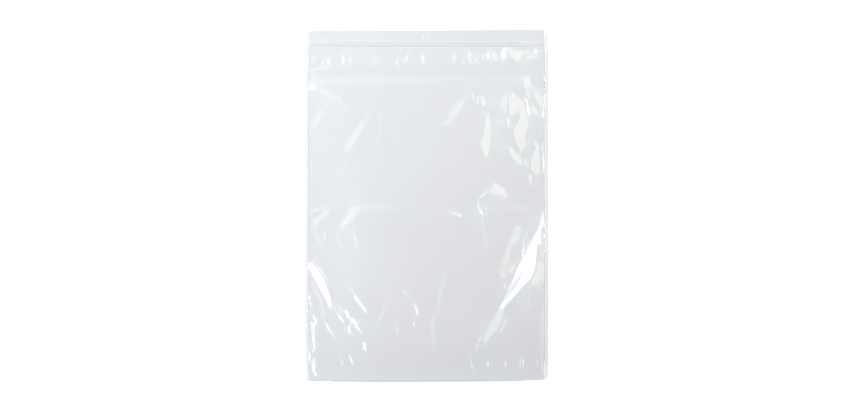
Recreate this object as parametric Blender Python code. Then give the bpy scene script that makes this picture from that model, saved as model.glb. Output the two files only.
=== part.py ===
"""Clear grip-seal bag, empty, zipped shut and lying flat on its back.

The bag is one piece: a polyethylene film with the two halves of its zip extruded in one
with the walls, folded over at the bottom and welded together along both sides.
Metres, +Z up. X runs across the bag, +Y towards its mouth. The origin is on the table,
under the middle of the bag.
"""
import math

import bmesh
import bpy

# The film and the bag's outline
BAG_WIDTH = 0.230
POCKET_LENGTH = 0.320       # from the zip's middle to the bottom fold
LIP_HEIGHT = 0.0137         # from the zip's middle to the edge of the mouth
FILM_THICKNESS = 0.0001
SEAL_WIDTH = 0.003          # the weld along each side
LAYER_GAP = 0.0002          # air left between walls that lie on each other
LIP_GAP = 0.0005            # air between the two lips at the edge of the mouth

# The zip: a headed rib on the front wall, held between two hooked jaws on the back wall
RIB_HEAD_WIDTH = 0.0020
RIB_HEAD_HEIGHT = 0.0005
RIB_STEM_WIDTH = 0.0008
JAW_THICKNESS = 0.0005
HOOK_HEIGHT = 0.0004
ZIP_PLAY = 0.0002           # clearance all round the rib

# The air in the pocket and how the front wall lies on it
PUFF_HEIGHT = 0.0022
PUFF_MARGIN = 0.030         # from a weld or fold to where the wall reaches its full height
WRINKLE_MARGIN = 0.008      # from a weld or fold to where its wrinkles reach theirs
SHOULDER_LENGTH = 0.020     # how far below the zip its stiff profiles still hold the wall up
VALLEY_DISTANCE = 0.026     # from the zip's middle to the valley that runs below it
VALLEY_DEPTH = 0.0007
VALLEY_HALF_WIDTH = 0.006
CREASE_DISTANCE = 0.155     # from the zip's middle to the crease across the pocket
CREASE_DEPTH = 0.0008
CREASE_HALF_WIDTH = 0.007
SEALED_SHARE = 0.5          # how far the air gap is pressed shut at a weld's outer edge

# How finely the walls are divided
STEP_ACROSS = 0.0051
STEP_ALONG = 0.0090
ZIP_STEP = 0.0045
BACK_STEP = 0.1
FOLD_ARC_STEPS = 4

# Folds of the front wall: start and end as shares of the pocket, height, half width.
# The first share runs from -1 at the left weld to 1 at the right one, the second
# from 0 at the zip to 1 at the bottom fold.
FOLDS = (
    ((-0.97, 0.65), (-0.58, 0.87), 0.0034, 0.0075),     # long fold, lower left
    ((0.97, 0.53), (0.44, 0.90), 0.0042, 0.0085),       # long fold, lower right
    ((0.79, 0.54), (0.60, 0.69), 0.0020, 0.0060),       # its inner neighbour
    ((-0.96, 0.13), (-0.70, 0.19), 0.0020, 0.0065),     # short fold, upper left corner
    ((-0.53, 0.22), (-0.71, 0.33), 0.0018, 0.0060),     # leaning leaf, upper left
    ((0.52, 0.20), (0.49, 0.34), 0.0024, 0.0065),       # upright leaf, upper right
    ((0.83, 0.13), (0.80, 0.32), 0.0028, 0.0070),       # wide leaf, upper right
    ((0.93, 0.28), (0.87, 0.42), 0.0024, 0.0065),       # leaf by the right weld
    ((0.47, 0.40), (0.69, 0.46), 0.0022, 0.0065),       # cross leaf above the crease
    ((0.45, 0.47), (0.50, 0.61), 0.0022, 0.0065),       # upright fold below the crease
    ((-0.57, 0.48), (-0.74, 0.54), 0.0020, 0.0065),     # short fold at the crease
    ((-0.63, 0.73), (-0.46, 0.83), 0.0018, 0.0060),     # second fold, lower left
    ((0.14, 0.68), (0.04, 0.83), 0.0015, 0.0060),       # faint fold in the middle
    ((0.04, 0.83), (0.15, 0.95), 0.0015, 0.0060),       # its bent lower half
    ((-0.96, 0.78), (-0.92, 0.99), 0.0022, 0.0060),     # crumpled lower left edge
)

# Worked out from the sizes above
ZIP_Y = (POCKET_LENGTH - LIP_HEIGHT) / 2
MOUTH_Y = ZIP_Y + LIP_HEIGHT
BOTTOM_Y = ZIP_Y - POCKET_LENGTH
WELD_X = BAG_WIDTH / 2 - SEAL_WIDTH
CHANNEL_WIDTH = RIB_HEAD_WIDTH + 2 * ZIP_PLAY
THROAT_WIDTH = RIB_STEM_WIDTH + 2 * ZIP_PLAY
ZIP_WIDTH = CHANNEL_WIDTH + 2 * JAW_THICKNESS
ZIP_FOOT_Y = ZIP_Y - ZIP_WIDTH / 2
ZIP_HEAD_Y = ZIP_Y + ZIP_WIDTH / 2
ZIP_GAP = RIB_HEAD_HEIGHT + HOOK_HEIGHT + 3 * ZIP_PLAY
FOLD_RADIUS = FILM_THICKNESS + LAYER_GAP / 2
FOLD_Y = BOTTOM_Y + FOLD_RADIUS


def ease(value, start, end):
    """Rises smoothly from 0 at start to 1 at end."""
    share = min(max((value - start) / (end - start), 0.0), 1.0)
    return share * share * (3 - 2 * share)


def ridge(distance, half_width):
    return math.exp(-(distance / half_width) ** 2)


def distance_to_line(x, y, start, end):
    """Distance from a point to the straight line between two others."""
    run_x = end[0] - start[0]
    run_y = end[1] - start[1]
    share = ((x - start[0]) * run_x + (y - start[1]) * run_y) / (run_x ** 2 + run_y ** 2)
    share = min(max(share, 0.0), 1.0)
    return math.hypot(x - start[0] - share * run_x, y - start[1] - share * run_y)


def pocket_point(shares):
    """Turns shares of the pocket into a place on the bag."""
    return shares[0] * WELD_X, ZIP_Y - shares[1] * POCKET_LENGTH


def zip_lift(y):
    """Air gap that the zip's own height gives the walls on either side of it."""
    if y > ZIP_Y:
        return ZIP_GAP + (LIP_GAP - ZIP_GAP) * ease(y, ZIP_HEAD_Y, MOUTH_Y)
    return ZIP_GAP + (LAYER_GAP - ZIP_GAP) * ease(ZIP_FOOT_Y - y, 0, SHOULDER_LENGTH)


def wrinkles(x, y):
    """Height of the front wall's folds, less its valley and its crease."""
    height = 0.0
    for start, end, fold_height, half_width in FOLDS:
        distance = distance_to_line(x, y, pocket_point(start), pocket_point(end))
        height = max(height, fold_height * ridge(distance, half_width))
    valley = VALLEY_DEPTH * ridge(y - ZIP_Y + VALLEY_DISTANCE, VALLEY_HALF_WIDTH)
    crease = CREASE_DEPTH * ridge(y - ZIP_Y + CREASE_DISTANCE, CREASE_HALF_WIDTH)
    return height - valley - crease


def air_gap(x, y):
    """Height of the air between the inner faces of the two walls."""
    if abs(x) > WELD_X:
        pressed = SEALED_SHARE * (abs(x) - WELD_X) / SEAL_WIDTH
        return zip_lift(y) * (1 - pressed)
    below_zip = ZIP_FOOT_Y - y
    from_weld = WELD_X - abs(x)
    above_fold = y - FOLD_Y
    puff = PUFF_HEIGHT * ease(from_weld, 0, PUFF_MARGIN) * ease(above_fold, 0, PUFF_MARGIN)
    puff *= ease(below_zip, 0, VALLEY_DISTANCE)
    held = ease(from_weld, 0, WRINKLE_MARGIN) * ease(above_fold, 0, WRINKLE_MARGIN)
    held *= ease(below_zip, 0, SHOULDER_LENGTH)
    return zip_lift(y) + max(puff + held * wrinkles(x, y), 0.0)


def spread(start, end, step):
    """Evenly spaced places from start up to, but without, end."""
    count = max(1, math.ceil(abs(end - start) / step - 1e-9))
    return [start + (end - start) * i / count for i in range(count)]


def wall_rows():
    """Places along the front wall, from the bottom fold to the edge of the mouth."""
    crease = ZIP_Y - CREASE_DISTANCE
    valley = ZIP_Y - VALLEY_DISTANCE
    rows = spread(FOLD_Y, crease, STEP_ALONG)
    rows += spread(crease, valley, STEP_ALONG)
    rows += spread(valley, ZIP_FOOT_Y, ZIP_STEP)
    rows += [ZIP_FOOT_Y]
    rows += spread(ZIP_HEAD_Y, MOUTH_Y, ZIP_STEP)
    return rows + [MOUTH_Y]


def fold_arc(radius):
    """Half circle of the bottom fold, from its foot up to its top, without both ends."""
    middle = FILM_THICKNESS + LAYER_GAP / 2
    angles = [math.pi * i / FOLD_ARC_STEPS for i in range(1, FOLD_ARC_STEPS)]
    return [(FOLD_Y - radius * math.sin(a), middle - radius * math.cos(a)) for a in angles]


def rib_outline():
    """The front wall's headed rib, from its mouth side to its pocket side.

    Heights are measured down from the wall's inner face.
    """
    stem = RIB_STEM_WIDTH / 2
    head = RIB_HEAD_WIDTH / 2
    neck = -(HOOK_HEIGHT + 2 * ZIP_PLAY)
    tip = neck - RIB_HEAD_HEIGHT
    half = [(stem, 0.0), (stem, neck), (head, neck), (stem, tip)]
    other = [(-across, height) for across, height in reversed(half)]
    return [(ZIP_Y + across, height) for across, height in half + other]


def jaw_outline():
    """The back wall's two hooked jaws, from the pocket side to the mouth side.

    Heights are measured up from the wall's inner face.
    """
    outside = ZIP_WIDTH / 2
    channel = CHANNEL_WIDTH / 2
    throat = THROAT_WIDTH / 2
    underside = RIB_HEAD_HEIGHT + 2 * ZIP_PLAY
    top = underside + HOOK_HEIGHT
    half = [(outside, 0.0), (outside, underside), (channel, top), (throat, top),
            (throat, underside), (channel, underside), (channel, 0.0)]
    other = [(-across, height) for across, height in half]
    return [(ZIP_Y + across, height) for across, height in other + half[::-1]]


def film_section():
    """Outline of the folded film, seen from the side, as outer and inner points.

    Each point is (y, height, carried): a carried point belongs to the front wall and
    is raised by the air gap below it.
    """
    rows = wall_rows()
    inside = FILM_THICKNESS
    outside = 2 * FILM_THICKNESS
    back_rows = spread(FOLD_Y, ZIP_FOOT_Y, BACK_STEP)
    outer = [(y, 0.0, False) for y in [MOUTH_Y] + back_rows[::-1]]
    outer += [(y, z, False) for y, z in fold_arc(FOLD_RADIUS)]
    outer += [(y, outside, True) for y in rows]

    rib = [(y, inside + z, True) for y, z in rib_outline()]
    inner = [(y, inside, True) for y in reversed(rows) if y > ZIP_Y]
    inner += rib
    inner += [(y, inside, True) for y in reversed(rows) if y < ZIP_Y]
    inner += [(y, z, False) for y, z in reversed(fold_arc(LAYER_GAP / 2))]
    inner += [(y, inside, False) for y in back_rows]
    inner += [(y, inside + z, False) for y, z in jaw_outline()]
    inner.append((MOUTH_Y, inside, False))
    return outer, inner


def extrude_to(bm, faces, x):
    """Extrudes a region of faces along the bag to the place x and returns its new faces."""
    edges = list(dict.fromkeys(edge for face in faces for edge in face.edges))
    made = bmesh.ops.extrude_face_region(bm, geom=faces + edges)["geom"]
    for element in made:
        if isinstance(element, bmesh.types.BMVert):
            element.co.x = x
    return [element for element in made if isinstance(element, bmesh.types.BMFace)]


def weld_side(bm, film_end, outer_edge):
    """Joins the two walls along one side, from the pocket's end to the bag's edge."""
    inner = [vert for vert in film_end.verts if vert[bm.verts.layers.int["inner"]]]
    pocket_end = bm.faces.new(inner)
    weld_end = extrude_to(bm, [film_end, pocket_end], outer_edge)
    bmesh.ops.dissolve_faces(bm, faces=weld_end, use_verts=True)
    bm.faces.new(inner)


def split_front(bm, is_carried):
    """Splits the front wall's level faces from corner to corner.

    Its two faces are split the same way, so they stay apart where a fold twists them.
    """
    for face in list(bm.faces):
        level = len({vert.co.z for vert in face.verts}) == 1
        if level and len(face.verts) == 4 and all(vert[is_carried] for vert in face.verts):
            corners = sorted(face.verts, key=lambda vert: vert.co.x + vert.co.y)
            bmesh.utils.face_split(face, corners[0], corners[-1])


def build_bag():
    """Extrudes the film's section across the bag, welds its sides and raises the front."""
    outer, inner = film_section()
    bm = bmesh.new()
    is_inner = bm.verts.layers.int.new("inner")
    is_carried = bm.verts.layers.int.new("carried")
    for y, z, carried in outer + inner:
        vert = bm.verts.new((-WELD_X, y, z))
        vert[is_carried] = carried
    bm.verts.ensure_lookup_table()
    for vert in bm.verts[len(outer):]:
        vert[is_inner] = True

    left_end = bm.faces.new(bm.verts)
    right_end = left_end
    for x in spread(-WELD_X, WELD_X, STEP_ACROSS)[1:] + [WELD_X]:
        right_end = extrude_to(bm, [right_end], x)[0]
    weld_side(bm, left_end, -BAG_WIDTH / 2)
    weld_side(bm, right_end, BAG_WIDTH / 2)
    split_front(bm, is_carried)

    for vert in bm.verts:
        if vert[is_carried]:
            vert.co.z += air_gap(vert.co.x, vert.co.y)
    bmesh.ops.recalc_face_normals(bm, faces=bm.faces)
    return bm


def clear_film():
    material = bpy.data.materials.new("clear_polyethylene_film")
    material.use_nodes = True
    shader = material.node_tree.nodes["Principled BSDF"]
    shader.inputs["Base Color"].default_value = (0.84, 0.86, 0.89, 1.0)
    shader.inputs["Roughness"].default_value = 0.12
    shader.inputs["Metallic"].default_value = 0.0
    shader.inputs["IOR"].default_value = 1.51
    shader.inputs["Alpha"].default_value = 0.45
    return material


def main():
    for item in list(bpy.data.objects):
        bpy.data.objects.remove(item, do_unlink=True)
    collection = bpy.data.collections.new("grip_seal_bag")
    bpy.context.scene.collection.children.link(collection)

    bm = build_bag()
    mesh = bpy.data.meshes.new("zip_bag")
    bm.to_mesh(mesh)
    bm.free()
    mesh.materials.append(clear_film())
    mesh.shade_smooth()
    mesh.set_sharp_from_angle(angle=math.radians(40))
    collection.objects.link(bpy.data.objects.new("zip_bag", mesh))


main()
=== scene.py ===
import math

import bmesh
import bpy
import numpy as np
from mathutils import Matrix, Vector, noise


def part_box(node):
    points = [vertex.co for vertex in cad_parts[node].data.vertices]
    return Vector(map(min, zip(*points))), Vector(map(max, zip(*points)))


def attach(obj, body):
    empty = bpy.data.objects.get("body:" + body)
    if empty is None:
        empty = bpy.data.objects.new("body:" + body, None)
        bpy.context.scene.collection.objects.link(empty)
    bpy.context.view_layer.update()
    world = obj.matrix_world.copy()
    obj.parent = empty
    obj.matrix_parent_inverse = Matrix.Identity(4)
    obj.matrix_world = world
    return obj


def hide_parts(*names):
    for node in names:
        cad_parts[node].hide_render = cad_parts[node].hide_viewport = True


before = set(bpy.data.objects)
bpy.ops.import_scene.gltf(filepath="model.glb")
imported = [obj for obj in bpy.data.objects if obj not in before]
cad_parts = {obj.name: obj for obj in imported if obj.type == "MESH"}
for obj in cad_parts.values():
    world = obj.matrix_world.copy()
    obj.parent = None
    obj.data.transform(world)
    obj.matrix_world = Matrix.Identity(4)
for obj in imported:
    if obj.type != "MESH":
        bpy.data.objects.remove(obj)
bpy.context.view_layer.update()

lowCorner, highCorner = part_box("zip_bag")

# The photograph's frame, in pixels of 854 x 410, and the bag's outline in it
photo = {
    "width": 854,
    "height": 410,
    "bagLeft": 305.5,
    "bagRight": 547.5,
    "bagTop": 30.0,
    "bagBottom": 381.5,
}
metresPerPixel = (highCorner.x - lowCorner.x) / (photo["bagRight"] - photo["bagLeft"])
bagMiddle = ((photo["bagLeft"] + photo["bagRight"]) / 2, (photo["bagTop"] + photo["bagBottom"]) / 2)
mm = 0.001

# The film and its zip, in metres; the rib is drawn wider than packed, as it looks in the photo
film = {
    "thickness": 0.1 * mm,
    "sealWidth": 3.0 * mm,
    "lipHeight": 13.7 * mm,
    "layerGap": 0.2 * mm,
    "lipGap": 0.5 * mm,
    "ribHeadWidth": 2.4 * mm,
    "ribHeadHeight": 0.5 * mm,
    "ribStemWidth": 1.8 * mm,
    "jawThickness": 0.5 * mm,
    "hookHeight": 0.4 * mm,
    "zipPlay": 0.2 * mm,
    "shoulderLength": 20 * mm,
}

# How finely the film is divided, in metres
mesh = {
    "leftZone": 58 * mm,
    "leftStep": 1.2 * mm,
    "middleStep": 1.7 * mm,
    "rightZone": 80 * mm,
    "rightStep": 1.0 * mm,
    "weldZone": 2 * mm,
    "weldStep": 0.5 * mm,
    "bandLength": 38 * mm,
    "bandStep": 1.45 * mm,
    "rowStep": 1.6 * mm,
    "lipStep": 1.0 * mm,
    "backStep": 24.0 * mm,
    "pinchStep": 12.0 * mm,
    "liftMargin": 34.0 * mm,
    "arcSteps": 5,
    "sealPlaces": (0.22, 0.5, 0.8, 1.0),
}

edgeX = highCorner.x
weldX = edgeX - film["sealWidth"]
mouthY = highCorner.y
zipY = mouthY - film["lipHeight"]
channelWidth = film["ribHeadWidth"] + 2 * film["zipPlay"]
zipWidth = channelWidth + 2 * film["jawThickness"]
zipFootY = zipY - zipWidth / 2
zipHeadY = zipY + zipWidth / 2
zipGap = film["ribHeadHeight"] + film["hookHeight"] + 3 * film["zipPlay"]
foldRadius = film["thickness"] + film["layerGap"] / 2
foldY = lowCorner.y + foldRadius

# The air in the pocket and the broad waves of its front wall, in metres
pocket = {
    "puffHeight": 2.4 * mm,
    "puffMargin": 105 * mm,
    "puffFootMargin": 95 * mm,
    "restMargin": 60 * mm,
    "valleyMargin": 19 * mm,
    "valleyDepth": 0.20 * mm,
    "facetStiffness": 40.0,
    "backStiffness": 0.03,
    "spring": 0.0016,
    "settleSteps": 320,
    "calmMargin": 18 * mm,
    "wrinkleMargin": 2.0 * mm,
    "creaseV": 208.0,
    "creaseStep": 0.28 * mm,
    "creaseShare": [(305, 0.5), (347, 0.6), (353, 1.2), (390, 1.2), (398, 0.7), (500, 0.6), (517, 1.2), (538, 1.2)],
    "undulation": 0.45 * mm,
    "undulationLength": 60 * mm,
}

# Facets that the front wall is creased into, in photo pixels: either the outline of one, or the
# line down a leaf-shaped one and its width. Each leans toward a side and mirrors what lies glance
# degrees off straight up
white = {"toward": (-1, 0), "glance": 18.0}
pale = {"toward": (-1, 0), "glance": 12.0}
cream = {"toward": (1, 0), "glance": 17.0}
ivory = {"toward": (1, 0), "glance": 13.0}
facets = [
    # long streak at the lower right and the weld beside it
    dict(white, toward=(-0.88, -0.47), outline=[
        (541.4, 225.7), (540.7, 232), (539.3, 238), (537.1, 245), (536.1, 255), (536.1, 264), (534.3, 271.4),
        (530.7, 278), (526.4, 283.6), (522, 288), (516, 295), (509, 302), (503, 310), (499.5, 312), (498, 309),
        (503, 299), (508.6, 286.4), (513.6, 276.4),
        (516.4, 268.6), (520.7, 261.4), (525, 253), (530, 243), (533.6, 234.3), (536.4, 230)]),
    dict(pale, line=[(524, 270), (518, 279), (511, 289), (503, 302)], width=3.4, glance=12.5),
    dict(pale, toward=(-0.88, -0.47), outline=[
        (498, 309), (495, 314), (490, 322), (485, 333), (480, 345), (484, 346), (490, 338), (497, 330),
        (502, 320), (504, 312), (503, 310)]),
    dict(cream, line=[(481.5, 335), (480, 340), (477, 344), (475.3, 350.5)], width=2.4),
    dict(ivory, line=[(484.5, 342), (481, 343.5), (478, 347), (477, 350)], width=1.6),
    dict(ivory, outline=[(520, 225.4), (523.2, 227.9), (521.3, 232.5), (511, 232.5), (515, 227.9)]),
    dict(ivory, outline=[
        (511, 235), (520, 235.5), (519.3, 240), (514.3, 245.7), (511.4, 251.4), (509.3, 260.7), (505.7, 267.9),
        (502.9, 274.3), (500, 277), (497, 273), (500, 264.3), (501.4, 256.4), (504.3, 248.6), (507.1, 241.4)]),
    dict(white, line=[(541.4, 286.5), (543, 293)], width=1.4),
    dict(white, line=[(534.3, 298), (535.2, 304)], width=1.2),
    dict(white, line=[(532, 302), (530.5, 310), (529, 323)], width=1.2),
    dict(white, line=[(545, 227), (546, 234), (545.4, 240)], width=3.0),
    dict(white, line=[(543.6, 246), (545, 252), (547, 259)], width=3.0),
    dict(white, line=[(546.4, 212), (541, 219), (541, 224)], width=2.6),
    # lower left
    dict(white, toward=(-0.9, 0.43), back=4, outline=[
        (312.5, 268), (316, 267.5), (321, 273), (325, 280), (328, 289), (331, 296), (330.5, 301), (329, 305),
        (325.5, 300), (322, 291), (317, 282), (313, 275), (311.5, 270)]),
    dict(pale, toward=(-0.9, 0.43), glance=10, outline=[
        (330, 301), (333, 302), (337, 307), (340, 312), (342, 317), (339, 317), (335, 312.5), (331, 308)]),
    dict(pale, line=[(311, 279), (315, 288), (320, 298), (322, 306), (322.5, 315)], width=3.4),
    dict(pale, line=[(323, 317), (328, 328), (337, 339)], width=2.6),
    dict(white, line=[(338, 302), (341, 309), (343.5, 314)], width=1.0, glance=13.5),
    dict(white, line=[(335, 312), (339, 317), (343, 320.5), (346, 327)], width=1.0, glance=13.5),
    dict(white, line=[(346, 318), (349, 313), (350.5, 322)], width=1.1, glance=13.5),
    dict(white, line=[(346, 329), (350, 324.5)], width=1.1, glance=13.5),
    dict(white, line=[(348.5, 327), (350.5, 335)], width=1.2, glance=13.5),
    dict(white, line=[(352, 319), (356.5, 323), (358, 330)], width=1.3, glance=13.5),
    dict(white, line=[(353, 331), (357, 332)], width=2.0, toward=(0, -1)),
    dict(white, line=[(354.5, 334), (360, 338.5)], width=1.0, glance=13.5),
    dict(white, line=[(358.5, 328), (362.5, 334)], width=1.0, glance=13.5),
    dict(white, line=[(353, 289), (355, 298), (360, 304), (365, 311), (370, 316.5)], width=2.2, glance=14.5),
    dict(pale, line=[(382.5, 302), (383, 312), (380, 322), (376.5, 328.5)], width=3.4, glance=12),
    dict(white, line=[(398, 286), (405, 293), (412, 300)], width=1.3, glance=15),
    dict(white, line=[(413.3, 300), (415.5, 309), (419.5, 317)], width=2.8),
    dict(white, line=[(395, 320), (396.5, 328), (398, 337)], width=1.6, glance=15),
    dict(pale, line=[(391, 322), (391.5, 333)], width=1.8),
    dict(white, line=[(413, 320.5), (416, 328)], width=2.4),
    dict(pale, line=[(444.5, 264), (443, 280), (440, 293), (438.5, 308), (435.5, 321)], width=3.2),
    dict(pale, line=[(431, 321), (433, 335), (437.5, 347)], width=3.0),
    dict(white, line=[(363.8, 342), (365.5, 351)], width=2.2),
    # folded strip at the lower left weld
    dict(white, line=[(309, 292), (310.5, 305), (314, 315), (318.5, 323)], width=0.5),
    dict(white, line=[(309.5, 311), (312.5, 317), (317.5, 322)], width=0.4),
    dict(pale, outline=[(310.5, 322), (318, 323), (316, 327), (313.5, 331), (310.8, 330)]),
    dict(white, glance=15.5, outline=[(311.5, 332), (313, 331), (314.2, 340), (314.4, 350), (313.8, 354), (313, 350), (312, 342)]),
    dict(white, glance=15, outline=[(313.8, 358.5), (311.3, 363), (311, 367), (313.5, 369.5), (315.3, 367), (314.5, 363)]),
    dict(white, line=[(313.5, 371), (317, 375.5)], width=1.6, glance=14),
    # upper left
    dict(pale, line=[(312.5, 90), (317, 90.5), (322, 92.5)], width=3.0, glance=15),
    dict(pale, line=[(317, 90.5), (330, 95.5), (339, 99.5), (343.5, 107)], width=5.5, glance=10),
    dict(pale, line=[(325, 106), (318, 115), (316, 125), (311, 129.5)], width=5, glance=9.5),
    dict(pale, toward=(-0.87, -0.5), glance=10.5, outline=[
        (362.5, 119.5), (364.5, 124), (361, 131), (357, 139), (352, 147), (347, 150.5), (343.7, 150), (346, 145),
        (351, 138), (354, 131), (358, 124.5)]),
    dict(pale, line=[(367, 116), (369.5, 122)], width=3.0),
    dict(pale, line=[(382, 113), (379.5, 125)], width=2.6),
    dict(pale, line=[(379, 133), (378, 141)], width=3.4),
    dict(pale, line=[(343.5, 167), (339, 172)], width=3.0),
    dict(pale, line=[(356, 167), (357, 171)], width=3.0),
    dict(pale, line=[(309.8, 154), (311.8, 165), (312.3, 179)], width=1.2),
    dict(pale, line=[(308, 71), (320, 68.5), (334, 66.5)], width=2.2, toward=(0, -1), glance=20),
    # upper right
    dict(cream, outline=[
        (488.5, 112), (490.8, 118), (492, 125), (492.3, 132), (490.8, 139), (490.2, 147), (487.5, 156), (485, 157),
        (482.2, 151.5), (480.2, 146), (480.2, 139), (482.8, 132), (483.8, 125), (485.3, 117)]),
    dict(cream, outline=[(480.2, 97), (484.7, 96.5), (486.5, 104.8), (483, 104.8), (480, 102.5)]),
    dict(ivory, line=[(485, 104), (480, 110)], width=2.4),
    dict(cream, line=[(472.3, 91.5), (473.3, 98), (474.6, 105.5)], width=2.8),
    dict(cream, line=[(497.8, 96), (497.4, 108)], width=3.4),
    dict(cream, outline=[
        (512.5, 93), (515.7, 96.7), (520, 99), (523.8, 101), (520.6, 106.2), (518.5, 105), (517, 108.2), (513.5, 110.7),
        (509, 114), (508.2, 108), (508.5, 101), (509.6, 95)]),
    dict(cream, outline=[(521.8, 103.5), (524.5, 102.7), (524.9, 108), (527.3, 113), (527.3, 117), (523, 111.3), (520, 107)]),
    dict(cream, outline=[(506, 117.3), (509.9, 116.2), (511.3, 120), (510.2, 124.7), (507.3, 127.7), (505.3, 124.7), (505.5, 120)]),
    dict(cream, outline=[
        (519.8, 113), (523, 115.8), (526.8, 117.3), (528.2, 122), (527.2, 129), (525.7, 136), (527.7, 140), (526.7, 144.3),
        (523.7, 148.3), (521, 152), (518.8, 147.3), (515.8, 141.3), (513, 135), (512.9, 129.5), (514.8, 125.3),
        (518.8, 121), (520.8, 118)]),
    dict(cream, outline=[
        (509.2, 145), (513, 149.6), (518, 154.2), (521.8, 157.3), (522.2, 164), (518, 162), (513, 158.4),
        (508.5, 153.8), (508.2, 149)]),
    dict(cream, outline=[
        (533.7, 90), (537.2, 93), (541.2, 96), (543, 99.5), (543.6, 108), (542.6, 111.3), (539.9, 108), (537.8, 104.4),
        (535.7, 99.4), (534.2, 96)]),
    dict(cream, outline=[
        (533, 100.5), (534.7, 106.5), (537.1, 111.3), (541, 115), (535, 113.3), (532.3, 111.8), (530.5, 114), (528.8, 110),
        (530.3, 108), (531.8, 104.4)]),
    dict(cream, outline=[(526, 90.8), (532.5, 91.3), (530.8, 96.5), (529.6, 103.5), (528.2, 98.7), (526, 96)]),
    dict(cream, outline=[(523, 79), (528.5, 78.6), (531, 81.8), (524.8, 82.4), (524.6, 84.4), (523, 84.4)]),
    dict(cream, outline=[(523, 85.2), (528, 84.3), (533.5, 86), (534, 89.8), (530.4, 89), (526.5, 87.4), (523.3, 87)]),
    dict(white, line=[(544, 68), (539.5, 72)], width=1.8),
    dict(cream, outline=[(532.8, 140.6), (536, 141.2), (539.8, 147.5), (536.5, 150.2), (533.8, 145)]),
    dict(cream, outline=[
        (532.8, 151), (536, 154.3), (540.2, 153.8), (541.2, 160), (541, 169), (538, 175), (535.4, 174), (530.8, 169),
        (531.8, 162), (532.5, 156)]),
    dict(cream, outline=[(530, 173.2), (532.3, 178), (531.8, 183), (529.8, 186.6), (528.2, 180)]),
    dict(cream, toward=(0.93, -0.37), glance=15.8, outline=[
        (490, 188.5), (495, 184.5), (500, 187), (505, 189.5), (508.3, 195), (508.3, 198.5), (503, 193.8),
        (498, 192), (493, 191.4), (488, 191.8)]),
    dict(pale, line=[(488, 193), (478, 198.5)], width=2.0, toward=(0, -1), glance=20),
    dict(ivory, line=[(513, 192), (516, 190)], width=3.0, glance=14),
    dict(pale, line=[(463, 99), (455, 111), (446, 124)], width=8.5, glance=9.5),
    dict(ivory, line=[(444, 123.5), (457, 125)], width=3.4, toward=(0, -1), glance=20),
    # around the cross crease
    dict(pale, toward=(-0.9, -0.44), outline=[
        (348.3, 207), (349.7, 209.8), (359.5, 209), (355.7, 211.7), (357.2, 213.3), (355.3, 217.3), (352, 220.3),
        (347, 223.8), (344.5, 226), (341.8, 224.7), (342.3, 221), (344.3, 219), (346.8, 217.5), (345.8, 216), (347.8, 212)]),
    dict(pale, toward=(-0.9, -0.44), outline=[
        (312.8, 218.8), (316, 218.8), (318.5, 216.3), (323, 214.2), (329.5, 212.7), (327.3, 216.2), (323, 218.8),
        (320, 219.3), (319, 222.3), (316, 223.8), (312.8, 222.3)]),
    dict(pale, line=[(310, 211.7), (317.5, 209.8)], width=1.8, toward=(0, -1), glance=20),
    dict(pale, line=[(316.5, 228), (317, 237), (324, 243)], width=3.4, glance=11),
    dict(pale, line=[(325, 230), (325.5, 241)], width=3.4),
    dict(pale, line=[(338, 236), (338.5, 241), (342.5, 249.5)], width=3.8, glance=11),
    dict(pale, line=[(354, 230), (355, 238), (358.3, 249)], width=2.8),
    dict(white, line=[(310, 264), (316, 260.5)], width=1.8, toward=(0, -1), glance=26),
    dict(pale, line=[(478, 200), (480, 211), (484, 224)], width=6.5, glance=8.5),
    dict(pale, line=[(481, 224), (485, 237), (488, 251)], width=6, glance=8),
    dict(white, line=[(480, 207), (481.5, 214)], width=1.4),
    dict(ivory, line=[(449, 212), (463, 217)], width=3, toward=(0, -1), glance=14),
    # the foot of the bag
    dict(white, line=[(469.3, 354), (471.5, 363), (474.5, 371)], width=1.6, glance=14),
    dict(pale, line=[(486.5, 358), (489, 370)], width=2.4),
    dict(pale, line=[(491.5, 359), (493, 370)], width=2.0),
    dict(white, line=[(504.7, 358), (506.7, 370)], width=2.0, glance=15),
    dict(cream, line=[(519.5, 355), (520, 368)], width=2.2),
    dict(white, line=[(522.3, 355), (523.2, 370)], width=2.2),
    dict(cream, line=[(536.8, 360), (538, 367)], width=2.2),
    dict(white, line=[(545.5, 356), (544.4, 368)], width=2.6),
    dict(cream, line=[(541, 366), (542, 372), (545, 374.5)], width=2.2),
    dict(pale, line=[(339, 354), (344, 367)], width=2.2),
    dict(pale, line=[(349, 355), (354.5, 368)], width=2.2),
    # band under the zip
    dict(cream, glance=15, outline=[(489, 51.5), (496, 51), (501, 56), (499, 61.5), (494, 60)]),
    dict(cream, glance=15.5, outline=[
        (505, 51), (515, 50.6), (525, 50.4), (533, 50.2), (527, 53), (519.5, 55.5), (518.5, 59.5), (514, 59.5), (510, 56)]),
    dict(cream, line=[(521, 60.5), (529, 58), (538, 56.5)], width=2.6, toward=(0.6, -0.8), glance=24),
    dict(cream, outline=[(467, 53), (472, 52.5), (473.6, 57), (472, 62), (469, 61.5)]),
    dict(cream, line=[(483, 53), (483, 61)], width=4.2),
    dict(cream, line=[(478, 59), (479, 65)], width=2.6),
    dict(white, line=[(452, 52), (455.5, 63)], width=2.8),
    dict(white, line=[(421, 53), (422, 58), (425, 65)], width=3),
    dict(white, line=[(409, 53), (405, 63)], width=3),
    dict(pale, line=[(434, 55), (435, 64)], width=2.6),
    dict(white, line=[(396, 58), (398, 67)], width=2.6),
    dict(pale, line=[(374, 56), (375, 65)], width=2.8),
    dict(white, line=[(343, 57), (344, 65)], width=3.4),
    dict(pale, line=[(350, 57), (351, 64)], width=3.0),
    dict(pale, line=[(328, 57), (331, 64)], width=4.4),
    dict(pale, line=[(320, 65), (326, 59)], width=3),
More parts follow.
